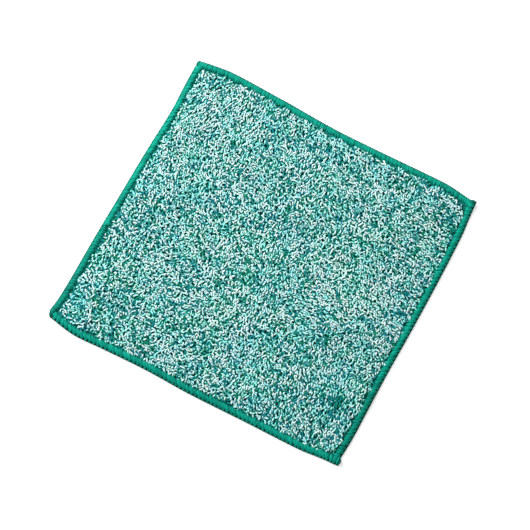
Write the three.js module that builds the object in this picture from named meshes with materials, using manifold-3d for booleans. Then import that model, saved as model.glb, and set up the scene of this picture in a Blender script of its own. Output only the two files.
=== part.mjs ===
// A mini towel lying flat: one square of looped terry, its four cut edges overlocked with thick thread.
// Millimetres, +Z up. X runs along the front edge and Y along the left edge. The origin is on the surface
// that the towel lies on, in the middle of the rectangle that its corners are measured from.
import * as THREE from "three";
import { mergeVertices } from "three/addons/utils/BufferGeometryUtils.js";
import Module from "manifold-3d";

// Driving dimensions: the corners, which the sides bow out from, and the thicknesses.
const WIDTH = 250;
const DEPTH = 237;
const TERRY_THICKNESS = 5;
const TONGUE_THICKNESS = 1.6;
const EDGING_WIDTH = 5.8;
const EDGING_HEIGHT = 4.2;
const EDGE_COVER = 2.2;
const SEAT_GAP = 0.3;

// How finely the curved surfaces are divided.
const CELLS_ACROSS = 29;
const CELLS_DEEP = 27;
const EDGING_STEPS = 28;
const EDGING_SIDES = 12;
const SECTION_SQUARENESS = 0.75;

// How far each side bows out from the rectangle, at these shares of its length. The sides run
// anticlockwise, seen from above: each starts where the one before it ends. Its edging runs over the
// corner that it ends at and past it by ends: at the edging's inner edge, its middle and its outer edge.
const BOW_AT = [0, 0.1, 0.2, 0.35, 0.5, 0.7, 0.88, 0.95, 1];
const SIDES = {
  front: { length: WIDTH, bow: [1.9, 6.4, 5.6, 4.4, 5.1, 4.1, 3.4, 1.6, 0.9], ends: [1.2, 1.6, 1.3] },
  right: { length: DEPTH, bow: [-0.4, 1.3, 1.5, 1.8, 2.8, 3.5, 3.2, 1.9, 1.3], ends: [-0.5, 0.4, 2.3] },
  back: { length: WIDTH, bow: [-2.2, 1.8, 1.9, 1.2, 1.1, 3.6, 5.2, 3.5, 1.5], ends: [-0.5, -0.4, 0.2] },
  left: { length: DEPTH, bow: [0.2, -0.4, -1.4, -0.3, 0.2, 0.8, 0.7, 1.4, 3.3], ends: [0.9, -0.8, -4.7] },
};

// The rounded end of an edging: how far along it each ring lies, and how large the ring is there.
const END_LENGTH = 9;
const END_RINGS = [
  { along: 0, size: 1 },
  { along: 0.45, size: 1 },
  { along: 0.76, size: 0.99 },
  { along: 0.93, size: 0.9 },
  { along: 1, size: 0.66 },
];

// Soft ridges where the cloth doesn't lie quite flat: centre, half lengths, turn and height.
const RIDGES = [
  { x: -101, y: -92, long: 44, wide: 17, turn: 84, height: 1.7 },
  { x: -96, y: 8, long: 32, wide: 40, turn: 8, height: 1.5 },
  { x: 80, y: -12, long: 52, wide: 38, turn: 70, height: 1.3 },
  { x: 104, y: -67, long: 34, wide: 17, turn: 14, height: 1.6 },
  { x: 88, y: 84, long: 46, wide: 21, turn: 62, height: 1.5 },
  { x: 58, y: -94, long: 38, wide: 19, turn: 12, height: 1.3 },
  { x: -44, y: 92, long: 40, wide: 24, turn: 76, height: 1.1 },
  { x: 132, y: 126, long: 34, wide: 26, turn: -45, height: 3.2 },
];

const COLOURS = { terry: 0x7eb5b1, edging: 0x1f9a83 };

const wasm = await Module();
wasm.setup();

// A smooth curve through the values given at these stations, level beyond both ends.
function smoothThrough(stations, values, t) {
  const last = stations.length - 1;
  if (t <= stations[0]) return values[0];
  if (t >= stations[last]) return values[last];
  const slope = (k) => {
    const [a, b] = [Math.max(k - 1, 0), Math.min(k + 1, last)];
    return (values[b] - values[a]) / (stations[b] - stations[a]);
  };
  const k = stations.findIndex((s, i) => i < last && t < stations[i + 1]);
  const span = stations[k + 1] - stations[k];
  const f = (t - stations[k]) / span;
  const [f2, f3] = [f * f, f * f * f];
  return (
    (2 * f3 - 3 * f2 + 1) * values[k] +
    (f3 - 2 * f2 + f) * span * slope(k) +
    (3 * f2 - 2 * f3) * values[k + 1] +
    (f3 - f2) * span * slope(k + 1)
  );
}

const bow = (side, t) => smoothThrough(BOW_AT, SIDES[side].bow, t);

// The place on the surface of the cloth's share u of its width and v of its depth.
function onTowel(u, v) {
  const x = (u - 0.5) * WIDTH + u * bow("right", v) - (1 - u) * bow("left", 1 - v);
  const y = (v - 0.5) * DEPTH + v * bow("back", 1 - u) - (1 - v) * bow("front", u);
  return { x, y };
}

// The place at a share t of one side's length, and this far in from its outer edge.
function besideEdge(side, t, inset) {
  const [across, deep] = [inset / WIDTH, inset / DEPTH];
  if (side === "front") return onTowel(t, deep);
  if (side === "right") return onTowel(1 - across, t);
  if (side === "back") return onTowel(1 - t, 1 - deep);
  return onTowel(across, 1 - t);
}

// How high the cloth's underside stands off the surface: nothing, but for the ridges.
function lift({ x, y }) {
  return RIDGES.reduce((sum, ridge) => {
    const turn = THREE.MathUtils.degToRad(ridge.turn);
    const [dx, dy] = [x - ridge.x, y - ridge.y];
    const along = (dx * Math.cos(turn) + dy * Math.sin(turn)) / ridge.long;
    const across = (dy * Math.cos(turn) - dx * Math.sin(turn)) / ridge.wide;
    const reach = Math.max(0, 1 - along * along - across * across);
    return sum + ridge.height * reach * reach;
  }, 0);
}

// Moves every vertex of a closed geometry and returns it as a solid, its shared vertices merged.
function solidFrom(geometry, place) {
  geometry.deleteAttribute("normal");
  geometry.deleteAttribute("uv");
  const merged = mergeVertices(geometry, 1e-5);
  const position = merged.getAttribute("position");
  for (let i = 0; i < position.count; i++) {
    const { x, y, z } = place(position.getX(i), position.getY(i), position.getZ(i));
    position.setXYZ(i, x, y, z);
  }
  const made = new wasm.Mesh({
    numProp: 3,
    vertProperties: position.array,
    triVerts: new Uint32Array(merged.index.array),
  });
  return new wasm.Manifold(made);
}

// A slab of the cloth that starts this far in from its outline, between two heights above its underside.
function slab(inset, low, high) {
  const box = new THREE.BoxGeometry(1, 1, 1, CELLS_ACROSS, CELLS_DEEP, 1);
  const [across, deep] = [inset / WIDTH, inset / DEPTH];
  return solidFrom(box, (x, y, z) => {
    const at = onTowel(0.5 + x * (1 - 2 * across), 0.5 + y * (1 - 2 * deep));
    return { ...at, z: lift(at) + (z < 0 ? low : high) };
  });
}

// The cloth's pressed edge, which the edging wraps, with room of this size all round it.
function tongue(room) {
  const middle = EDGING_HEIGHT / 2;
  const half = TONGUE_THICKNESS / 2 + room;
  return slab(EDGE_COVER - room, middle - half, middle + half);
}

function terryCloth() {
  return slab(EDGING_WIDTH + SEAT_GAP, 0, TERRY_THICKNESS).add(tongue(0));
}

// One side's overlocked edging: a flattened bar along the edge, from the edging before it to past the
// corner, with the tongue's room cut out of it.
function edging(side) {
  const { length, ends } = SIDES[side];
  const start = (EDGING_WIDTH + SEAT_GAP) / length;
  const endStart = 1 + (ends[1] - END_LENGTH) / length;
  const steps = EDGING_STEPS + END_RINGS.length - 1;
  const bar = new THREE.CylinderGeometry(1, 1, 1, EDGING_SIDES, steps, false);
  // With this turn the bar's lowest and highest rows of faces are level.
  bar.rotateY(Math.PI / EDGING_SIDES);
  const topOfSection = Math.cos(Math.PI / EDGING_SIDES);
  const squared = (c) => Math.sign(c) * Math.min(1, Math.abs(c) / topOfSection) ** SECTION_SQUARENESS;
  const solid = solidFrom(bar, (x, y, z) => {
    const ring = Math.round((0.5 + y) * steps);
    const end = END_RINGS[Math.max(0, ring - EDGING_STEPS)];
    const [out, up] = [end.size * squared(x), end.size * squared(z)];
    const endLength = END_LENGTH + smoothThrough([-1, 0, 1], ends, out) - ends[1];
    const t =
      THREE.MathUtils.lerp(start, endStart, Math.min(1, ring / EDGING_STEPS)) +
      (endLength * end.along) / length;
    const at = besideEdge(side, t, (EDGING_WIDTH / 2) * (1 - out));
    const underside = lift(besideEdge(side, t, EDGING_WIDTH / 2));
    return { ...at, z: underside + (EDGING_HEIGHT / 2) * (1 + up) };
  });
  return solid.subtract(tongue(SEAT_GAP));
}

function meshOf(name, solid, material) {
  const { vertProperties, triVerts } = solid.getMesh();
  const geometry = new THREE.BufferGeometry();
  geometry.setAttribute("position", new THREE.BufferAttribute(vertProperties, 3));
  geometry.setIndex(new THREE.BufferAttribute(triVerts, 1));
  geometry.computeVertexNormals();
  const mesh = new THREE.Mesh(geometry, material);
  mesh.name = name;
  return mesh;
}

const terryMaterial = new THREE.MeshStandardMaterial({
  color: COLOURS.terry,
  roughness: 0.95,
  metalness: 0,
});
const edgingMaterial = new THREE.MeshStandardMaterial({
  color: COLOURS.edging,
  roughness: 0.8,
  metalness: 0,
});

const towel = new THREE.Group();
towel.add(meshOf("terry_cloth", terryCloth(), terryMaterial));
for (const side of Object.keys(SIDES)) {
  towel.add(meshOf("edging_" + side, edging(side), edgingMaterial));
}

export default towel;
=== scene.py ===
"""The looks of the mini towel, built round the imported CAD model.

The terry is a woven ground cloth with thousands of yarn loops on both faces, each a mesh tube.
Each edging is one side's overlock stitches: thick woolly threads that wrap the cloth's edge.
Lengths are in millimetres until a mesh is made. X runs along the front edge, Y along the left edge
and Z up.
"""
import math

import bpy
import numpy as np
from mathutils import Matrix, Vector


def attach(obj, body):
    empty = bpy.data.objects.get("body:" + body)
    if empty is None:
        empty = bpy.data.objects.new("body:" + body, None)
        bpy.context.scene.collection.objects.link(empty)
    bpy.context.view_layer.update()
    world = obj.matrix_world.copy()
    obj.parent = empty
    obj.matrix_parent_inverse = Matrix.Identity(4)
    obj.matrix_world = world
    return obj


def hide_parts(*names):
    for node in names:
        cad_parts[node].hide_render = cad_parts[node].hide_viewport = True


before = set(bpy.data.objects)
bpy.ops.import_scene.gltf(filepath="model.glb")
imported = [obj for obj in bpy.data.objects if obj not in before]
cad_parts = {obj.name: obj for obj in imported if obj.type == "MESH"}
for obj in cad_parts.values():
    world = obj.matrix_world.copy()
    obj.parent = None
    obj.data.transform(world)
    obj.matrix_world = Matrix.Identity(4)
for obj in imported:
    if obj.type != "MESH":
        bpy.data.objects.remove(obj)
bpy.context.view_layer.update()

MM = 0.001

# The towel's sizes and outline, the same as the CAD's. The sides run anticlockwise from above.
WIDTH = 250
DEPTH = 237
EDGING_WIDTH = 5.8
EDGING_HEIGHT = 4.2
# How far each side bows out from the rectangle of the corners, at these shares of its length, and
# how far its edging goes past the corner that it ends at: at its inner line, middle and outer line.
BOW_AT = [0, 0.1, 0.2, 0.35, 0.5, 0.7, 0.88, 0.95, 1]
SIDES = {
    "front": dict(
        length=WIDTH,
        bow=[1.9, 6.4, 5.6, 4.4, 5.1, 4.1, 3.4, 1.6, 0.9],
        ends=[1.2, 1.6, 1.3],
    ),
    "right": dict(
        length=DEPTH,
        bow=[-0.4, 1.3, 1.5, 1.8, 2.8, 3.5, 3.2, 1.9, 1.3],
        ends=[-0.5, 0.4, 2.3],
    ),
    "back": dict(
        length=WIDTH,
        bow=[-2.2, 1.8, 1.9, 1.2, 1.1, 3.6, 5.2, 3.5, 1.5],
        ends=[-0.5, -0.4, 0.2],
    ),
    "left": dict(
        length=DEPTH,
        bow=[0.2, -0.4, -1.4, -0.3, 0.2, 0.8, 0.7, 1.4, 3.3],
        ends=[0.9, -0.8, -4.7],
    ),
}
# Soft ridges where the cloth doesn't lie quite flat: centre, half lengths, turn in degrees and
# height.
RIDGES = [
    dict(x=-101, y=-92, long=44, wide=17, turn=84, height=1.7),
    dict(x=-96, y=8, long=32, wide=40, turn=8, height=1.5),
    dict(x=80, y=-12, long=52, wide=38, turn=70, height=1.3),
    dict(x=104, y=-67, long=34, wide=17, turn=14, height=1.6),
    dict(x=88, y=84, long=46, wide=21, turn=62, height=1.5),
    dict(x=58, y=-94, long=38, wide=19, turn=12, height=1.3),
    dict(x=-44, y=92, long=40, wide=24, turn=76, height=1.1),
    dict(x=132, y=126, long=34, wide=26, turn=-45, height=3.2),
]

# The map that the yarns' materials are drawn on: a square of cells, each one yarn's colours. Its
# columns run from dark to pale. Its rows are this many shades of warmth, each of as many of hue.
YARN_MAP = "OFBake"
CELLS = 16
SHADES = 4
# The share of a cell that is left empty on each side, and the strip of it that a tube's caps take.
CELL_MARGIN = 0.08
CAP_STRIP = 0.03

# The lattice of random values behind the soft patterns, in squares to a side, and where it starts.
LATTICE = 64
LATTICE_START = (31.3, 29.7)

rng = np.random.default_rng(11)


# ---------------------------------------------------------------- the towel's form

def smooth_through(stations, values, t):
    """A smooth curve through the values given at these stations, level beyond both ends."""
    stations, values = np.array(stations, float), np.array(values, float)
    slopes = np.empty_like(values)
    slopes[1:-1] = (values[2:] - values[:-2]) / (stations[2:] - stations[:-2])
    slopes[0] = (values[1] - values[0]) / (stations[1] - stations[0])
    slopes[-1] = (values[-1] - values[-2]) / (stations[-1] - stations[-2])
    t = np.clip(t, stations[0], stations[-1])
    k = np.clip(np.searchsorted(stations, t, side="right") - 1, 0, len(stations) - 2)
    gap = stations[k + 1] - stations[k]
    f = (t - stations[k]) / gap
    return (
        (2 * f**3 - 3 * f**2 + 1) * values[k]
        + (f**3 - 2 * f**2 + f) * gap * slopes[k]
        + (3 * f**2 - 2 * f**3) * values[k + 1]
        + (f**3 - f**2) * gap * slopes[k + 1]
    )


def bow(side, t):
    """How far a side bows out at a share t of its length."""
    return smooth_through(BOW_AT, SIDES[side]["bow"], t)


def on_towel(u, v):
    """x and y of the cloth's share u of its width and v of its depth."""
    x = (u - 0.5) * WIDTH + u * bow("right", v) - (1 - u) * bow("left", 1 - v)
    y = (v - 0.5) * DEPTH + v * bow("back", 1 - u) - (1 - v) * bow("front", u)
    return x, y


def beside_edge(side, t, inset):
    """x and y at a share t of one side's length, this far in from its outer edge."""
    across, deep = inset / WIDTH, inset / DEPTH
    if side == "front":
        return on_towel(t, deep)
    if side == "right":
        return on_towel(1 - across, t)
    if side == "back":
        return on_towel(1 - t, 1 - deep)
    return on_towel(across, 1 - t)


def lift(x, y):
    """How high the cloth's underside stands off the floor: nothing, but for the ridges."""
    total = np.zeros(np.broadcast(x, y).shape)
    for ridge in RIDGES:
        turn = math.radians(ridge["turn"])
        dx, dy = x - ridge["x"], y - ridge["y"]
        along = (dx * math.cos(turn) + dy * math.sin(turn)) / ridge["long"]
        across = (dy * math.cos(turn) - dx * math.sin(turn)) / ridge["wide"]
        total += ridge["height"] * np.maximum(0, 1 - along**2 - across**2) ** 2
    return total


def patchy(x, y, size, seed):
    """A soft random pattern from 0 to 1, with patches of about this size."""
    lattice = np.random.default_rng(seed).random((LATTICE, LATTICE))
    gx, gy = x / size + LATTICE_START[0], y / size + LATTICE_START[1]
    i, j = np.floor(gx).astype(int), np.floor(gy).astype(int)
    fx, fy = gx - i, gy - j
    fx, fy = fx * fx * (3 - 2 * fx), fy * fy * (3 - 2 * fy)
    i, j = i % (LATTICE - 1), j % (LATTICE - 1)
    low = lattice[i, j] * (1 - fx) + lattice[i + 1, j] * fx
    high = lattice[i, j + 1] * (1 - fx) + lattice[i + 1, j + 1] * fx
    return low * (1 - fy) + high * fy


# ---------------------------------------------------------------- meshes

def unit(vectors):
    """Vectors of length one in the same directions."""
    return vectors / np.maximum(np.linalg.norm(vectors, axis=-1, keepdims=True), 1e-9)


def tubes(paths, wide_way, widths, thicknesses, sides, cells):
    """Closed tubes along many paths at once: points, faces' corners, faces' sizes and map places.

    paths is (tubes, rings, 3). wide_way is each section's wide direction, widths and thicknesses
    its half sizes, and cells each tube's cell of the yarn map, which the tube fills: along it and
    then round it.
    """
    count, rings, _ = paths.shape
    tangent = unit(np.gradient(paths, axis=1))
    across = wide_way - (wide_way * tangent).sum(-1, keepdims=True) * tangent
    across = unit(np.broadcast_to(across, paths.shape))
    outward = np.cross(tangent, across)
    # The first face looks outward, so a three-sided yarn lies with its broad side up.
    angle = math.pi / 2 + 2 * math.pi * (np.arange(sides) - 0.5) / sides
    section = (
        across[:, :, None] * (widths[:, :, None, None] * np.cos(angle)[:, None])
        + outward[:, :, None] * (thicknesses[:, :, None, None] * np.sin(angle)[:, None])
    )
    points = (paths[:, :, None] + section).reshape(-1, 3)

    ring, side = np.meshgrid(np.arange(rings - 1), np.arange(sides), indexing="ij")
    ring, side = ring.ravel(), side.ravel()
    after = (side + 1) % sides
    here, beyond = ring * sides, (ring + 1) * sides
    quads = np.stack([here + side, here + after, beyond + after, beyond + side], axis=1)
    along = np.stack([ring, ring, ring + 1, ring + 1], axis=1) / (rings - 1)
    round_it = np.stack([side, side + 1, side + 1, side], axis=1) / sides
    first = np.arange(sides)[::-1]
    last = (rings - 1) * sides + np.arange(sides)
    corners = np.concatenate([quads.ravel(), first, last])
    sizes = np.concatenate([np.full(len(quads), 4), [sides, sides]])
    # A cap's corners share a thin strip of the map with the tube's end.
    cap_round = np.arange(sides) / sides
    cap_along = CAP_STRIP * (np.arange(sides) % 2)
    place = np.stack(
        [
            np.concatenate([along.ravel(), cap_along, 1 - cap_along]),
            np.concatenate([round_it.ravel(), cap_round[::-1], cap_round]),
        ],
        axis=1,
    )
    place = CELL_MARGIN + (1 - 2 * CELL_MARGIN) * place
    cell = np.stack([cells % CELLS, cells // CELLS], axis=1)
    return (
        points,
        (corners + np.arange(count)[:, None] * rings * sides).ravel(),
        np.tile(sizes, count),
        ((cell[:, None] + place) / CELLS).reshape(-1, 2),
    )


def together(*parts):
    """Several results of tubes() as one."""
    points, corners, sizes, places = zip(*parts)
    starts = np.cumsum([0] + [len(p) for p in points[:-1]])
    return (
        np.concatenate(points),
        np.concatenate([c + start for c, start in zip(corners, starts)]),
        np.concatenate(sizes),
        np.concatenate(places),
    )


def make_piece(name, shape, material):
    """A smooth-shaded mesh piece of the towel, from millimetres."""
    points, corners, sizes, places = shape
    mesh = bpy.data.meshes.new(name)
    mesh.vertices.add(len(points))
    mesh.vertices.foreach_set("co", (points * MM).ravel())
    mesh.loops.add(len(corners))
    mesh.loops.foreach_set("vertex_index", corners)
    mesh.polygons.add(len(sizes))
    mesh.polygons.foreach_set("loop_start", np.cumsum(sizes) - sizes)
    mesh.update(calc_edges=True)
    mesh.shade_smooth()
    mesh.uv_layers.new(name=YARN_MAP).data.foreach_set("uv", places.ravel())
    mesh.materials.append(material)
    piece = bpy.data.objects.new(name, mesh)
    bpy.context.scene.collection.objects.link(piece)
    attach(piece, "root")
    return piece


# ---------------------------------------------------------------- the ground cloth

# It lies at the middle of the edging's height and ends this far in from the edging's outer edge.
GROUND_THICKNESS = 1.0
GROUND_LOW = EDGING_HEIGHT / 2 - GROUND_THICKNESS / 2
GROUND_HIGH = EDGING_HEIGHT / 2 + GROUND_THICKNESS / 2
GROUND_INSET = 2.2
GROUND_CELLS = (84, 80)


def ground_cloth(material):
    """The woven cloth that the loops stand on, a thin closed sheet that ends inside the edging."""
    columns, rows = GROUND_CELLS
    u, v = np.meshgrid(np.linspace(0, 1, columns + 1), np.linspace(0, 1, rows + 1), indexing="ij")
    across, deep = GROUND_INSET / WIDTH, GROUND_INSET / DEPTH
    x, y = on_towel(across + u * (1 - 2 * across), deep + v * (1 - 2 * deep))
    base = lift(x, y)
    underside, upper_side = (
        np.stack([x, y, base + height], axis=-1).reshape(-1, 3)
        for height in (GROUND_LOW, GROUND_HIGH)
    )

    i, j = np.meshgrid(np.arange(columns), np.arange(rows), indexing="ij")
    corner = (i * (rows + 1) + j).ravel()
    right = rows + 1
    top = np.stack([corner, corner + right, corner + right + 1, corner + 1], axis=1)
    layer = len(underside)
    rim = np.concatenate([
        np.arange(columns) * right,
        columns * right + np.arange(rows),
        np.arange(columns, 0, -1) * right + rows,
        np.arange(rows, 0, -1),
    ])
    after = np.roll(rim, -1)
    walls = np.stack([rim, after, after + layer, rim + layer], axis=1)
    corners = np.concatenate([top[:, ::-1], top + layer, walls])
    flat = np.stack([u, v], axis=-1).reshape(-1, 2)
    places = np.concatenate([flat, flat])[corners.ravel()]
    points = np.concatenate([underside, upper_side])
    shape = (points, corners.ravel(), np.full(len(corners), 4), places)
    return make_piece("ground_cloth", shape, material)


# ---------------------------------------------------------------- the pile

# How far in from each side of the cloth the pile on top begins, how much further in its ragged edge
# comes, and how round its corners are.
PILE_EDGE = dict(front=4.6, right=4.8, back=5.45, left=5.45)
RAGGED = 2.5
CORNER_ROUNDING = 7
# How far a loop's foot strays from its place in the rows, and how far the rows are offset from each
# other by turns, as shares of the pitch.
FOOT_STRAYS = 0.3
ROWS_OFFSET = 0.25

# Where the loops lie over in one direction: place, reach, direction in degrees from +X, and how
# strongly. Elsewhere they lie a little more in one direction than in others.
NAP_TURN = 120
NAP_ALL_OVER = 0.3
NAP = [
    dict(x=-104, y=90, reach=28, turn=66, pull=1.3),
    dict(x=-62, y=90, reach=24, turn=76, pull=1.0),
    dict(x=0, y=88, reach=16, turn=86, pull=1.0),
    dict(x=34, y=84, reach=22, turn=150, pull=0.6),
    dict(x=102, y=76, reach=30, turn=176, pull=1.0),
    dict(x=-45, y=52, reach=24, turn=170, pull=0.5),
    dict(x=4, y=30, reach=20, turn=70, pull=0.9),
    dict(x=4, y=-30, reach=20, turn=82, pull=0.8),
    dict(x=-76, y=22, reach=20, turn=105, pull=0.5),
    dict(x=110, y=12, reach=24, turn=160, pull=0.5),
    dict(x=54, y=-24, reach=24, turn=4, pull=1.0),
    dict(x=-60, y=-56, reach=28, turn=12, pull=0.8),
    dict(x=-100, y=-50, reach=20, turn=80, pull=0.5),
    dict(x=-20, y=-92, reach=24, turn=175, pull=0.6),
    dict(x=90, y=-86, reach=32, turn=94, pull=1.3),
]
# The most loops that follow the nap, as a share, and their spread about it in degrees.
FOLLOW_NAP = 0.85
NAP_SPREAD = 20

# How pale, how blue and how creamy the yarns are, from 0 to 1: the least, how much of it is random,
# and patches as (size, strength, seed).
YARN_COLOURS = {
    "pale": dict(least=0.07, random=1.12, patches=[(5.5, 0.43, 3), (26, 0.1, 4)]),
    "blue": dict(least=0.08, random=0.84, patches=[(4.4, 0.8, 5), (24, 0.45, 6)]),
    "cream": dict(least=0.295, random=0.5, patches=[(2.4, 0.85, 10), (4.6, 0.9, 8), (13, 0.4, 9)]),
}
# Paler yarns are creamier too: by how much, and the paleness at which this makes no difference.
PALE_CREAM = 0.35
MIDDLE_PALE = 0.6
# Where more of the yarns are pale, or fewer: x, y, reach, and how many more, as a share.
PATCHES = [
    (-40, 55, 12, 0.27), (-37, 90, 11, 0.18), (-80, 50, 10, 0.20), (-62, 33, 12, 0.18),
    (-108, 70, 14, 0.14), (-100, 32, 11, 0.14), (29, 17, 11, 0.18), (58, 12, 11, 0.10),
    (-45, -12, 13, 0.14), (-25, -28, 13, 0.09), (45, -33, 13, 0.22), (3, -64, 14, 0.15),
    (40, 97, 15, 0.13), (80, -92, 12, 0.10), (60, 80, 10, 0.07), (-98, -29, 13, -0.28),
    (-20, 35, 13, -0.15), (5, 32, 12, -0.09), (-42, 20, 11, -0.13), (-10, 5, 12, -0.15),
    (4, -33, 12, -0.18), (25, -42, 10, -0.08), (-30, -62, 13, -0.12), (-35, -76, 10, -0.09),
    (-10, 85, 10, -0.09), (-85, -88, 12, -0.13), (98, -78, 14, -0.28), (108, -48, 12, -0.13),
    (110, 85, 13, -0.24), (42, 28, 9, -0.11), (70, 45, 12, -0.09), (45, 65, 11, -0.08),
    (20, 90, 11, -0.12), (60, -100, 11, -0.12), (-63, 48, 9, -0.15), (50, -84, 11, -0.08),
    (55, -13, 10, -0.07),
]

# How high the loops stand, as a share of their reach: from one random share to another, and higher
# by this for the palest. Those beside the edging are held down, by how far in they are.
STANDS = (0.58, 0.75)
PALE_STANDS_HIGHER = 0.25
HELD_DOWN_AT = [5, 11]
HELD_DOWN = [0.56, 1]
# How far a loop bends to one side and waves to both, at one standard deviation, how far its feet
# are sunk in the ground cloth, and how much its thickness varies.
BENDS = 0.6
WAVES = 0.3
FEET_SUNK = 0.4
YARN_VARIES = (0.85, 1.15)
YARN_SIDES = 3

# What loops() is given for the loops on each face, and how far apart they are.
TOP_LOOPS = dict(ground=GROUND_HIGH, reach=1.9, span=(2.0, 4.2), yarn=0.86, flatness=1, rings=7)
TOP_PITCH = (1.86, 1.94)
UNDER_LOOPS = dict(
    ground=GROUND_LOW,
    reach=-0.95,
    span=(3.0, 5.0),
    yarn=0.9,
    flatness=0.68,
    rings=5,
)
UNDER_PITCH = (2.4, 2.5)


def nap(x, y):
    """The direction in which the loops lie at a place, and how strongly, from 0 to 1."""
    # A turn by half a circle is the same way of lying, so the directions are added up doubled.
    cosine = np.full_like(x, NAP_ALL_OVER * math.cos(2 * math.radians(NAP_TURN)))
    sine = np.full_like(x, NAP_ALL_OVER * math.sin(2 * math.radians(NAP_TURN)))
    for row in NAP:
        distance_squared = (x - row["x"]) ** 2 + (y - row["y"]) ** 2
        near = row["pull"] * np.exp(-distance_squared / row["reach"] ** 2)
        cosine += near * math.cos(2 * math.radians(row["turn"]))
        sine += near * math.sin(2 * math.radians(row["turn"]))
    return np.arctan2(sine, cosine) / 2, np.clip(np.hypot(cosine, sine), 0, 1)


def inset_of(u, v):
    """How far in from the cloth's outline a place lies."""
    return np.minimum(np.minimum(u, 1 - u) * WIDTH, np.minimum(v, 1 - v) * DEPTH)


def loop_feet(pitch, edge):
    """The places of the loops, in rows as woven, as shares of the cloth. They begin this far in
    from each of its sides, or a little further, and further still from its corners."""
    columns, rows = round(WIDTH / pitch[0]), round(DEPTH / pitch[1])
    i, j = np.meshgrid(np.arange(columns), np.arange(rows), indexing="ij")
    i, j = i.ravel(), j.ravel()
    strays = rng.uniform(-FOOT_STRAYS, FOOT_STRAYS, (2, len(i)))
    u = (i + 0.5 + ROWS_OFFSET * (j % 2 * 2 - 1) + strays[0]) / columns
    v = (j + 0.5 + strays[1]) / rows
    from_side = np.minimum(u * WIDTH - edge["left"], (1 - u) * WIDTH - edge["right"])
    from_end = np.minimum(v * DEPTH - edge["front"], (1 - v) * DEPTH - edge["back"])
    inside = CORNER_ROUNDING - np.hypot(
        np.maximum(0, CORNER_ROUNDING - from_side),
        np.maximum(0, CORNER_ROUNDING - from_end),
    )
    keep = inside > RAGGED * patchy(u * WIDTH, v * DEPTH, size=6, seed=7)
    return u[keep], v[keep]


def yarn_colour(kind, x, y):
    """How pale, blue or creamy the yarns at these places are, without the placed patches."""
    row = YARN_COLOURS[kind]
    share = row["least"] + row["random"] * rng.random(len(x))
    for size, strength, seed in row["patches"]:
        share += strength * (patchy(x, y, size, seed) - 0.5)
    return share


def yarn_cells(x, y):
    """The cell of the yarn map for each loop. The map's columns run from teal yarn to pale, and
    its rows from mint to cream and, within each of those, from green to blue."""
    pale = yarn_colour("pale", x, y)
    for middle_x, middle_y, reach, more in PATCHES:
        pale += more * np.exp(-((x - middle_x) ** 2 + (y - middle_y) ** 2) / reach**2)
    blue = yarn_colour("blue", x, y)
    cream = yarn_colour("cream", x, y) + PALE_CREAM * (pale - MIDDLE_PALE)
    column = np.clip(pale * CELLS, 0, CELLS - 1).astype(int)
    hue, warmth = (
        np.clip(share * SHADES, 0, SHADES - 1).astype(int)
        for share in (blue, cream)
    )
    return (warmth * SHADES + hue) * CELLS + column


def loops(u, v, ground, reach, span, yarn, flatness, rings):
    """Loops of yarn with both feet in the ground cloth, whose tops lie over in the nap's direction.

    ground is the height of the cloth's face, reach how far from it the loops' middle lines rise,
    below 0 on the underside, and span the range of how far apart a loop's feet are. yarn is its
    half width, and flatness its half thickness as a share of that.
    """
    x, y = on_towel(u, v)
    count = len(x)
    way, pull = nap(x, y)
    any_way = rng.uniform(-1, 1, count) * math.pi / 2
    near_nap = rng.normal(0, math.radians(NAP_SPREAD), count)
    way = way + np.where(rng.random(count) < FOLLOW_NAP * pull, near_nap, any_way)
    forward = np.stack([np.cos(way), np.sin(way), np.zeros(count)], axis=1)
    sideways = np.stack([-np.sin(way), np.cos(way), np.zeros(count)], axis=1)

    angle = math.pi * np.linspace(0, 1, rings)
    length = rng.uniform(*span, count)[:, None]
    bend = rng.normal(0, BENDS, count)[:, None]
    wave = rng.normal(0, WAVES, count)[:, None]
    cells = yarn_cells(x, y)
    paleness = cells % CELLS / (CELLS - 1)
    held_down = smooth_through(HELD_DOWN_AT, HELD_DOWN, inset_of(u, v))
    stands = rng.uniform(*STANDS, count) + PALE_STANDS_HIGHER * paleness
    height = (reach * held_down * stands)[:, None]
    along = -0.5 * length * np.cos(angle)
    across = bend * (np.sin(angle) - 0.4) + wave * np.sin(2 * angle)
    sunk = FEET_SUNK * math.copysign(1, reach)
    # The root makes the loop's arch steep at its feet and flat along its top.
    rise = (height + sunk) * np.sin(angle) ** 0.5 - sunk
    paths = along[:, :, None] * forward[:, None] + across[:, :, None] * sideways[:, None]
    paths[:, :, 2] = rise
    paths[:, :, 0] += x[:, None]
    paths[:, :, 1] += y[:, None]
    paths[:, :, 2] += ground + lift(paths[:, :, 0], paths[:, :, 1])

    thick = yarn * rng.uniform(*YARN_VARIES, count)[:, None] * np.ones(rings)
    outer_side = math.copysign(1, reach) * sideways[:, None]
    return tubes(paths, outer_side, thick, flatness * thick, YARN_SIDES, cells)


def top_pile(material):
    """The loops on top, as one piece for each quarter of the towel."""
    u, v = loop_feet(TOP_PITCH, PILE_EDGE)
    pieces = []
    for name, here in {
        "pile_front_left": (u < 0.5) & (v < 0.5),
        "pile_front_right": (u >= 0.5) & (v < 0.5),
        "pile_back_left": (u < 0.5) & (v >= 0.5),
        "pile_back_right": (u >= 0.5) & (v >= 0.5),
    }.items():
        shape = loops(u[here], v[here], **TOP_LOOPS)
        pieces.append(make_piece(name, shape, material))
    return pieces


def under_pile(material):
    """The loops on the underside, pressed flat by the towel's weight, as a piece for each half."""
    u, v = loop_feet(UNDER_PITCH, dict.fromkeys(SIDES, EDGING_WIDTH + 0.3))
    pieces = []
    for name, here in {"pile_under_left": u < 0.5, "pile_under_right": u >= 0.5}.items():
        shape = loops(u[here], v[here], **UNDER_LOOPS)
        pieces.append(make_piece(name, shape, material))
    return pieces


# ---------------------------------------------------------------- the edging

STITCH_PITCH = 3.4
THREADS_A_STITCH = 3
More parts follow.
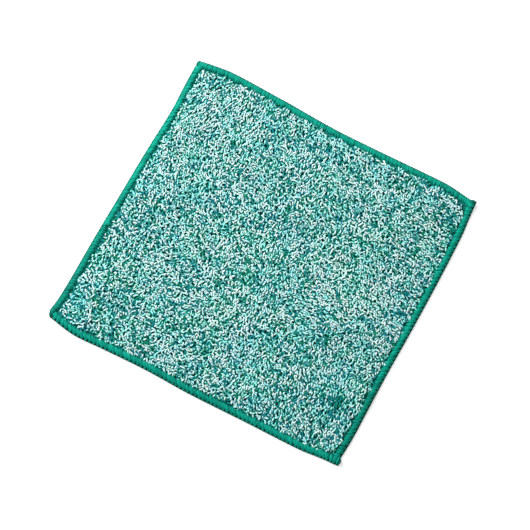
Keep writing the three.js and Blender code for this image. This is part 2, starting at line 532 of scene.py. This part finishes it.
# How far a side's first stitch reaches under the edging that it starts against.
STARTS_UNDER = 1.0

# How large the edging's section is, as a share, by how far it is from its rounded end. The CAD's
# edging narrows over END_LENGTH, the threads over END_ROUNDING.
END_LENGTH = 9
END_ROUNDING = 7
END_AT = [0, 0.08, 0.3, 1]
END_SIZES = [0.66, 0.88, 0.99, 1]

# The outer rim of each side's edging: how far the threads of a stitch stay apart there, as a share,
# how far their slant carries them on along the side, how much of a stitch the purl's knot spans,
# how far down it lies, and its columns of the yarn map: dark ones, painted shade along the rim.
RIMS = {
    "front": dict(apart=0.42, slant=3.0, knot=1.1, drop=0.45, columns=(1, 4)),
    "right": dict(apart=0.24, slant=3.0, knot=1.1, drop=0.45, columns=(2, 6)),
    "back": dict(apart=0.85, slant=0.6, knot=1.2, drop=0.2, columns=(1, 5)),
    "left": dict(apart=0.85, slant=1.8, knot=1.2, drop=0.2, columns=(0, 4)),
}
# How far from a side's ends its slant begins to fade.
SLANT_FADES = 20
# How bright each side's threads are drawn along it, at these shares of its length: painted light
# and shade.
PAINTED_LIGHT_AT = [0, 0.25, 0.5, 0.75, 1]
PAINTED_LIGHT_ALONG = {
    "front": [0.97, 0.98, 0.93, 1.0, 1.04],
    "right": [0.74, 0.90, 1.18, 1.24, 1.16],
    "back": [1.05, 1.02, 1.0, 1.02, 1.0],
    "left": [1.02, 1.0, 0.9, 0.78, 0.57],
}

# The middle line of a wrapping thread round the edging's section, from the inner line over the top
# and back underneath: out and up from the section's middle, as shares of its half sizes, and the
# thread's half width there in millimetres.
WRAP = [
    (-1.02, 0.04, 0.54), (-0.82, 0.44, 0.58), (-0.54, 0.72, 0.70), (-0.25, 0.79, 0.80),
    (0.02, 0.72, 0.88), (0.30, 0.50, 0.82), (0.58, 0.18, 0.58), (0.81, -0.16, 0.50),
    (0.93, -0.44, 0.48), (0.82, -0.74, 0.42), (0.40, -0.78, 0.70), (-0.10, -0.78, 0.90),
    (-0.60, -0.78, 0.80), (-0.85, -0.74, 0.60),
]
# By how far out on the section a thread is: how far it has drawn towards the others of its stitch,
# and how much of its slant it has made.
DRAWN_AT = [-1, 0.2, 0.5, 0.75, 1]
DRAWN = [0, 0.08, 0.4, 0.95, 1]
SLANTED_AT = [-1, -0.5, -0.1, 0.15, 0.35, 0.7]
SLANTED = [0, 0.04, 0.25, 0.55, 0.9, 1]
# How much of a stitch its threads take up along the inner line, how far each strays along the side
# there and at the rim, and how unevenly far in they reach, at one standard deviation.
STITCH_FILLED = 0.92
STRAYS_INSIDE = 0.2
STRAYS_AT_RIM = 0.07
INNER_UNEVEN = 0.17
# A wrapping thread's half thickness, and the threads' columns of the yarn map. The last few of a
# side, at the edging's end, are this many columns darker: painted shade at the corner.
THREAD_THICKNESS = 0.44
THREAD_COLUMNS = (8, 16)
LAST_THREADS = 2
END_PAINTED_SHADE = 6
THREAD_SIDES = 6

# The purl's knots: where their middle line lies on the section and how far it bulges out, how far
# down it runs over a stitch, half width and half thickness at its thickest, and how far it strays.
PURL_RINGS = 7
PURL_OUT = 0.88
PURL_BULGE = 0.05
PURL_FALL = 0.24
PURL_WIDTH = 0.5
PURL_THICKNESS = 0.4
PURL_STRAYS = 0.06

# The two rolls of the cloth's wrapped edge inside the threads: out and up as shares of the
# section's half sizes, half width and half thickness. They start and end this far inside the
# stitches.
CORES = [(-0.15, -0.25, 2.0, 1.15), (0.55, -0.58, 0.85, 0.45)]
CORE_STARTS = 0.4
CORE_ENDS = 0.9
CORE_RINGS = 64
CORE_SIDES = 10
# A near-black cell: the rolls are painted as shade, seen in the holes between the stitches.
CORE_SHADE_CELL = 1


def end_size(distance):
    """How large the edging's section is at this distance from its rounded end, as a share."""
    return smooth_through(END_AT, END_SIZES, distance / END_ROUNDING)


def in_edging(side, s, out, up):
    """A place in one side's edging: s along it, out and up from -1 to 1 across its section."""
    row = SIDES[side]
    ends = row["ends"]
    begins = row["length"] + ends[1] - END_LENGTH
    past = np.maximum(0, s - begins)
    further = smooth_through([-1, 0, 1], ends, out) - ends[1]
    s = np.minimum(s, begins) + past * (1 + further / END_LENGTH)
    t = s / row["length"]
    x, y = beside_edge(side, t, EDGING_WIDTH / 2 * (1 - out))
    middle = beside_edge(side, t, np.full_like(t, EDGING_WIDTH / 2))
    return np.stack([x, y, lift(*middle) + EDGING_HEIGHT / 2 * (1 + up)], axis=-1)


def edging_tubes(side, s, out, up, wide, thick, columns, end_shade_threads=0):
    """Threads along these paths in one side's edging, each with its broad way along the side, in
    colours from these columns of the yarn map. The last few, at the end, are darker: painted shade."""
    paths = in_edging(side, s, out, up)
    broad_way = in_edging(side, s + 0.5, out, up) - in_edging(side, s - 0.5, out, up)
    wide = wide * rng.uniform(0.92, 1.08, len(s))[:, None] * np.ones_like(s)
    thick = thick * rng.uniform(0.9, 1.1, len(s))[:, None] * np.ones_like(s)
    column = rng.integers(*columns, len(s))
    column[len(s) - end_shade_threads:] -= END_PAINTED_SHADE
    # Each side's threads are drawn brighter or darker along it: painted light and shade.
    painted_light = smooth_through(PAINTED_LIGHT_AT, PAINTED_LIGHT_ALONG[side], s.mean(axis=1) / SIDES[side]["length"])
    column = np.clip(np.rint(column * painted_light), 0, CELLS - 1).astype(int)
    cells = rng.integers(0, CELLS, len(s)) * CELLS + column
    return tubes(paths, broad_way, wide, thick, THREAD_SIDES, cells)


def stitches_of(side):
    """Where a side's stitches begin, their pitch, and where its edging ends, along the side."""
    row = SIDES[side]
    start, end = EDGING_WIDTH - STARTS_UNDER, row["length"] + row["ends"][1]
    count = round((end - start) / STITCH_PITCH)
    pitch = (end - start) / count
    return start + pitch * np.arange(count), pitch, end


def slant(side, s):
    """How far on along the side the stitches at s have moved at the rim, less near both ends."""
    stitch, _, end = stitches_of(side)
    from_ends = np.minimum(s - stitch[0], end - s)
    return RIMS[side]["slant"] * smooth_through([0, SLANT_FADES], [0, 1], from_ends)


def wrapping_threads(side):
    """The threads that wrap the edge, from the top's inner line round to the underside's. Those of
    a stitch draw together at the outer edge, so that small holes show between the stitches."""
    stitch, pitch, end = stitches_of(side)
    share = (np.arange(THREADS_A_STITCH) + 0.5) / THREADS_A_STITCH
    inner = (stitch[:, None] + pitch * (0.5 + STITCH_FILLED * (share - 0.5))).ravel()
    outer = (stitch[:, None] + pitch * (0.5 + RIMS[side]["apart"] * (share - 0.5))).ravel()
    slanting = slant(side, inner)[:, None]
    inner = inner + rng.normal(0, STRAYS_INSIDE, len(inner))
    outer = outer + rng.normal(0, STRAYS_AT_RIM, len(outer))

    out, up, wide = np.array(WRAP).T
    drawn = smooth_through(DRAWN_AT, DRAWN, out)
    slanted = smooth_through(SLANTED_AT, SLANTED, out)
    s = inner[:, None] + (outer - inner)[:, None] * drawn + slanting * slanted
    size = end_size(end - s)
    uneven = 1 + rng.normal(0, INNER_UNEVEN, len(inner))[:, None]
    out = size * np.where(out > 0, out, out * uneven)
    up = size * up
    return edging_tubes(side, s, out, up, wide, THREAD_THICKNESS, THREAD_COLUMNS, LAST_THREADS)


def purl(side):
    """The looper threads' purl: a chain of knots along the outer edge, one to each stitch."""
    stitch, pitch, end = stitches_of(side)
    rim = RIMS[side]
    f = np.linspace(0, 1, PURL_RINGS)
    strays = rng.normal(0, PURL_STRAYS, len(stitch))[:, None]
    s = stitch[:, None] + pitch * (0.5 + rim["knot"] * (f - 0.5)) + strays
    s = np.minimum(s + slant(side, s), end)
    size = end_size(end - s)
    bulge = np.sin(math.pi * f)
    out = size * (PURL_OUT + PURL_BULGE * bulge)
    up = size * (-rim["drop"] - PURL_FALL * f)
    swell = 0.6 + 0.4 * bulge
    wide, thick = PURL_WIDTH * swell, PURL_THICKNESS * swell
    # The purl's knots take dark columns: painted shade along the rim.
    return edging_tubes(side, s, out, up, wide, thick, rim["columns"])


def edging_core(side):
    """The cloth's wrapped edge, as a thick roll and a thin one, in sight between the threads. Its
    near-black cell is painted shade in the holes.
    """
    stitch, pitch, end = stitches_of(side)
    s = np.linspace(stitch[0] + CORE_STARTS, end - CORE_ENDS, CORE_RINGS)
    size = end_size(end - s)
    rolls = []
    for out, up, wide, thick in CORES:
        path = in_edging(side, s, out * size, up * size)[None]
        outward = np.cross(unit(np.gradient(path, axis=1)), [0.0, 0.0, 1.0])
        wide, thick = size[None] * wide, size[None] * thick
        rolls.append(tubes(path, outward, wide, thick, CORE_SIDES, np.array([CORE_SHADE_CELL])))
    return together(*rolls)


def edging(side, material):
    """One side's edging as a piece."""
    shape = together(wrapping_threads(side), purl(side), edging_core(side))
    return make_piece("overlock_" + side, shape, material)


# ---------------------------------------------------------------- materials

class Nodes:
    """Makes and links a material's nodes."""

    def __init__(self, name):
        self.material = bpy.data.materials.new(name)
        self.material.use_nodes = True
        self.tree = self.material.node_tree
        self.shader = self.tree.nodes["Principled BSDF"]

    def add(self, kind, **settings):
        """A new node of this kind, with these settings."""
        node = self.tree.nodes.new(kind)
        for key, value in settings.items():
            setattr(node, key, value)
        return node

    def link(self, source, target):
        """Joins an output socket to an input socket."""
        self.tree.links.new(source, target)

    def math(self, operation, *values):
        """The result of a sum on numbers or sockets."""
        node = self.add("ShaderNodeMath", operation=operation)
        for socket, value in zip(node.inputs, values):
            if isinstance(value, (int, float)):
                socket.default_value = value
            else:
                self.link(value, socket)
        return node.outputs[0]

    def smooth(self, value, low, high):
        """0 where value is below low, 1 above high, and smooth between."""
        node = self.add("ShaderNodeMapRange", interpolation_type="SMOOTHSTEP")
        self.link(value, node.inputs["Value"])
        node.inputs["From Min"].default_value = low
        node.inputs["From Max"].default_value = high
        return node.outputs["Result"]

    def mix(self, factor, first, second):
        """The first colour where factor is 0 and the second where it is 1."""
        node = self.add("ShaderNodeMix", data_type="RGBA")
        self.link(factor, node.inputs["Factor"])
        for socket, value in ((node.inputs[6], first), (node.inputs[7], second)):
            if isinstance(value, tuple):
                socket.default_value = (*value, 1)
            else:
                self.link(value, socket)
        return node.outputs[2]

    def yarn_place(self):
        """The yarn map's cell, and the places along and round the yarn in it, from 0 to 1."""
        place = self.add("ShaderNodeUVMap", uv_map=YARN_MAP).outputs["UV"]
        scaled = self.add("ShaderNodeVectorMath", operation="SCALE")
        self.link(place, scaled.inputs[0])
        scaled.inputs["Scale"].default_value = CELLS
        cell = self.add("ShaderNodeVectorMath", operation="FLOOR")
        self.link(scaled.outputs[0], cell.inputs[0])
        within = self.add("ShaderNodeVectorMath", operation="FRACTION")
        self.link(scaled.outputs[0], within.inputs[0])
        inside = self.add("ShaderNodeVectorMath", operation="MULTIPLY_ADD")
        self.link(within.outputs[0], inside.inputs[0])
        share = 1 - 2 * CELL_MARGIN
        inside.inputs[1].default_value = (1 / share,) * 3
        inside.inputs[2].default_value = (-CELL_MARGIN / share,) * 3
        parts = self.add("ShaderNodeSeparateXYZ")
        self.link(inside.outputs[0], parts.inputs[0])
        return cell.outputs[0], parts.outputs["X"], parts.outputs["Y"]

    def random(self, cell):
        """Three random values, the same all over a cell."""
        node = self.add("ShaderNodeTexWhiteNoise", noise_dimensions="2D")
        self.link(cell, node.inputs["Vector"])
        parts = self.add("ShaderNodeSeparateColor")
        self.link(node.outputs["Color"], parts.inputs[0])
        return parts.outputs

    def shares(self, cell):
        """How far along the map a cell's column and row lie, from 0 to 1."""
        scaled = self.add("ShaderNodeVectorMath", operation="SCALE")
        self.link(cell, scaled.inputs[0])
        scaled.inputs["Scale"].default_value = 1 / (CELLS - 1)
        parts = self.add("ShaderNodeSeparateXYZ")
        self.link(scaled.outputs[0], parts.inputs[0])
        return parts.outputs["X"], parts.outputs["Y"]

    def bump(self, height, strength, distance):
        """Makes the surface look uneven by this height, at most this distance in metres."""
        node = self.add("ShaderNodeBump")
        node.inputs["Strength"].default_value = strength
        node.inputs["Distance"].default_value = distance
        self.link(height, node.inputs["Height"])
        self.link(node.outputs["Normal"], self.shader.inputs["Normal"])

    def finish(self, roughness, specular=0.05, sheen=0.0, sheen_tint=(1, 1, 1)):
        """Sets how the surface shines and returns the material."""
        self.shader.inputs["Roughness"].default_value = roughness
        self.shader.inputs["Specular IOR Level"].default_value = specular
        self.shader.inputs["Sheen Weight"].default_value = sheen
        self.shader.inputs["Sheen Roughness"].default_value = 0.5
        self.shader.inputs["Sheen Tint"].default_value = (*sheen_tint, 1)
        return self.material


# The terry yarns' colours, each as a greener and a bluer shade where hue varies.
TEAL = (0.011, 0.285, 0.155), (0.013, 0.257, 0.315)
DEEP_TEAL = (0.005, 0.130, 0.115)
MINT = (0.29, 0.92, 0.80), (0.34, 0.89, 0.90)
CREAM = (0.82, 0.99, 0.93), (0.81, 0.95, 1.0)
# Painted shade on the pale ply's sides and undersides.
SHADED_PALE = (0.036, 0.60, 0.53)
# Painted shade in the groove between the plies.
GROOVE_PAINTED_SHADE = (0.005, 0.240, 0.200)
# Painted shade on the yarn down in the pile.
PILE_PAINTED_SHADE = (0.002, 0.105, 0.084)
WEAVE = (0.004, 0.13, 0.105)
WEAVE_FLECKS = (0.03, 0.27, 0.25)
# The overlock thread's, at its darkest and its brightest.
THREAD_DARK = (0.000, 0.034, 0.025)
THREAD_BRIGHT = (0.005, 0.435, 0.310)


def pile_material():
    """Melange yarn: a pale ply and a teal ply twisted together, one or the other mostly in sight.

    The yarn map's columns run from teal yarn to pale, and its rows from mint to cream and, within
    each of those, from green to blue.
    """
    n = Nodes("terry_loops")
    cell, along, round_it = n.yarn_place()
    random = n.random(cell)
    column, row = n.shares(cell)
    turns = n.math("MULTIPLY_ADD", along, 1.1, round_it)
    twist = n.math("SINE", n.math("MULTIPLY", n.math("ADD", turns, random[0]), 2 * math.pi))
    lean = n.math("MULTIPLY_ADD", column, 2.1, -1.05)
    ply = n.math("ADD", twist, lean)
    pale_ply = n.smooth(ply, -0.2, 0.3)
    # A dark line where the plies meet is painted shade in the groove between them.
    groove_shade = n.smooth(n.math("ABSOLUTE", ply), 0.0, 0.3)
    shades = n.math("MULTIPLY_ADD", row, (CELLS - 1) / SHADES, 0.01)
    hue = n.math("MULTIPLY", n.math("FRACT", shades), SHADES / (SHADES - 1))
    warmth = n.math("DIVIDE", n.math("FLOOR", shades), SHADES - 1)
    teal = n.mix(hue, *TEAL)
    teal = n.mix(n.math("MULTIPLY", random[1], 0.5), teal, DEEP_TEAL)
    creaminess = n.math("MULTIPLY_ADD", random[2], 0.2, n.math("MULTIPLY", warmth, 0.8))
    pale = n.mix(creaminess, n.mix(hue, *MINT), n.mix(hue, *CREAM))
    # The undersides and the legs, down in the pile, are painted darker: painted shade on the yarn.
    from_top = n.math("ABSOLUTE", n.math("SUBTRACT", round_it, 1 / 6))
    from_foot = n.math("SUBTRACT", 0.5, n.math("ABSOLUTE", n.math("SUBTRACT", along, 0.5)))
    top = n.math("SUBTRACT", 1.0, n.smooth(from_top, 0.07, 0.20))
    unshaded = n.math("MULTIPLY", n.smooth(from_foot, 0.04, 0.34), top)
    pale = n.mix(n.smooth(unshaded, 0.34, 0.88), SHADED_PALE, pale)
    colour = n.mix(pale_ply, teal, pale)
    colour = n.mix(groove_shade, GROOVE_PAINTED_SHADE, colour)
    colour = n.mix(n.smooth(unshaded, 0.0, 0.35), PILE_PAINTED_SHADE, colour)
    n.link(colour, n.shader.inputs["Base Color"])
    return n.finish(roughness=0.9, specular=0.0)


def ground_material():
    """The woven ground between the loops, in teal with pale flecks."""
    n = Nodes("terry_ground")
    place = n.add("ShaderNodeTexCoord").outputs["Object"]
    flecks = n.add("ShaderNodeTexNoise")
    n.link(place, flecks.inputs["Vector"])
    flecks.inputs["Scale"].default_value = 900
    flecks.inputs["Detail"].default_value = 1
    colour = n.mix(n.smooth(flecks.outputs[0], 0.5, 0.62), WEAVE, WEAVE_FLECKS)
    n.link(colour, n.shader.inputs["Base Color"])
    weave = n.add("ShaderNodeTexBrick", offset=0.5)
    n.link(place, weave.inputs["Vector"])
    weave.inputs["Scale"].default_value = 900
    n.bump(weave.outputs["Fac"], 0.4, 0.0003)
    return n.finish(roughness=0.95)


def edging_material():
    """Woolly teal-green overlock thread, of fine filaments that run along it.

    The yarn map's columns run from near black, painted shade on the wrapped edge, to the brightest
    thread.
    """
    n = Nodes("overlock_thread")
    cell, along, round_it = n.yarn_place()
    column, _ = n.shares(cell)
    random = n.random(cell)
    strands = n.add("ShaderNodeCombineXYZ")
    offset = n.math("MULTIPLY", random[0], 40)
    n.link(n.math("MULTIPLY_ADD", along, 5, offset), strands.inputs["X"])
    n.link(n.math("MULTIPLY_ADD", round_it, 26, n.math("MULTIPLY", along, 6)), strands.inputs["Y"])
    filaments = n.add("ShaderNodeTexNoise")
    n.link(strands.outputs[0], filaments.inputs["Vector"])
    filaments.inputs["Scale"].default_value = 1
    filaments.inputs["Detail"].default_value = 2
    fibres = n.smooth(filaments.outputs[0], 0.3, 0.7)
    bright = n.math("MULTIPLY", column, n.math("MULTIPLY_ADD", fibres, 0.6, 0.62))
    colour = n.mix(bright, THREAD_DARK, THREAD_BRIGHT)
    n.link(colour, n.shader.inputs["Base Color"])
    n.bump(fibres, 0.3, 0.0002)
    return n.finish(roughness=0.5, specular=0.05, sheen=0.06, sheen_tint=(0.05, 0.8, 0.6))


# ---------------------------------------------------------------- the towel

terry_yarn = pile_material()
thread = edging_material()
ground = ground_cloth(ground_material())
piles = [*top_pile(terry_yarn), *under_pile(terry_yarn)]
edgings = [edging(side, thread) for side in SIDES]

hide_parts("terry_cloth")
for side, piece in zip(SIDES, edgings):
    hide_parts("edging_" + side)


# ---------------------------------------------------------------- floor, light and camera

WORLD_LIGHT = 0.32
FLOOR_HALF = 3.0
# How far round the camera is from the front and how high above the floor, in degrees, the place it
# is aimed at, how far from that it is in metres, and its lens.
CAMERA_TURN = 28.06
CAMERA_RISE = 74.54
CAMERA_AIM = (2.66, -5.48, 0)
CAMERA_DISTANCE = 1.3826
CAMERA_LENS = 120


def floor_material():
    """A plain white floor, which the camera sees as white but for the towel's soft shadow."""
    n = Nodes("white_floor")
    n.shader.inputs["Base Color"].default_value = (0.6, 0.6, 0.6, 1)
    n.shader.inputs["Roughness"].default_value = 0.9
    rays = n.add("ShaderNodeLightPath").outputs
    seen = n.math("MAXIMUM", rays["Is Camera Ray"], rays["Is Glossy Ray"])
    seen = n.math("MAXIMUM", seen, rays["Is Transmission Ray"])
    # Far from the towel less light falls, and more of the white is the floor's own.
    far = n.add("ShaderNodeVectorMath", operation="LENGTH")
    n.link(n.add("ShaderNodeNewGeometry").outputs["Position"], far.inputs[0])
    own = n.math("MULTIPLY_ADD", n.smooth(far.outputs["Value"], 0.3, 1.2), 0.4, 0.6)
    n.link(n.math("MULTIPLY", seen, own), n.shader.inputs["Emission Strength"])
    n.shader.inputs["Emission Color"].default_value = (1, 1, 1, 1)
    return n.material


def make_floor():
    """One square of floor, far wider than the view."""
    mesh = bpy.data.meshes.new("floor")
    half = FLOOR_HALF
    corners = [(-half, -half, 0), (half, -half, 0), (half, half, 0), (-half, half, 0)]
    mesh.from_pydata(corners, [], [(0, 1, 2, 3)])
    mesh.materials.append(floor_material())
    floor = bpy.data.objects.new("floor", mesh)
    bpy.context.scene.collection.objects.link(floor)


def make_lamp(name, place, size, power):
    """A square lamp, aimed at the towel's middle. Its place and size are in metres."""
    light = bpy.data.lights.new(name, "AREA")
    light.size = size
    light.energy = power
    lamp = bpy.data.objects.new(name, light)
    lamp.location = place
    lamp.rotation_euler = (-Vector(place)).to_track_quat("-Z", "Y").to_euler()
    bpy.context.scene.collection.objects.link(lamp)


def make_camera():
    """The photograph's view: nearly straight down, with the towel turned by 28 degrees."""
    turn, rise = math.radians(CAMERA_TURN), math.radians(CAMERA_RISE)
    aim = Vector(CAMERA_AIM) * MM
    level = math.cos(rise)
    back = Vector((math.sin(turn) * level, -math.cos(turn) * level, math.sin(rise)))
    data = bpy.data.cameras.new("camera")
    data.lens = CAMERA_LENS
    data.clip_end = 20
    camera = bpy.data.objects.new("camera", data)
    camera.location = aim + back * CAMERA_DISTANCE
    camera.rotation_euler = back.to_track_quat("Z", "Y").to_euler()
    bpy.context.scene.collection.objects.link(camera)
    bpy.context.scene.camera = camera


def make_world():
    """An even, dim white light from all round, which the camera sees as white."""
    world = bpy.data.worlds.new("soft_white")
    world.use_nodes = True
    nodes, links = world.node_tree.nodes, world.node_tree.links
    rays = nodes.new("ShaderNodeLightPath").outputs
    seen = rays["Is Camera Ray"]
    for kind in ("Is Glossy Ray", "Is Transmission Ray"):
        either = nodes.new("ShaderNodeMath")
        either.operation = "MAXIMUM"
        links.new(seen, either.inputs[0])
        links.new(rays[kind], either.inputs[1])
        seen = either.outputs["Value"]
    strength = nodes.new("ShaderNodeMapRange")
    strength.inputs["To Min"].default_value = WORLD_LIGHT
    links.new(seen, strength.inputs["Value"])
    background = nodes["Background"]
    background.inputs["Color"].default_value = (1, 1, 1, 1)
    links.new(strength.outputs["Result"], background.inputs["Strength"])
    bpy.context.scene.world = world


make_floor()
make_lamp("key", place=(-1.15, 0.35, 1.2), size=1.1, power=40)
make_camera()
make_world()
bpy.context.scene.view_settings.view_transform = "Standard"
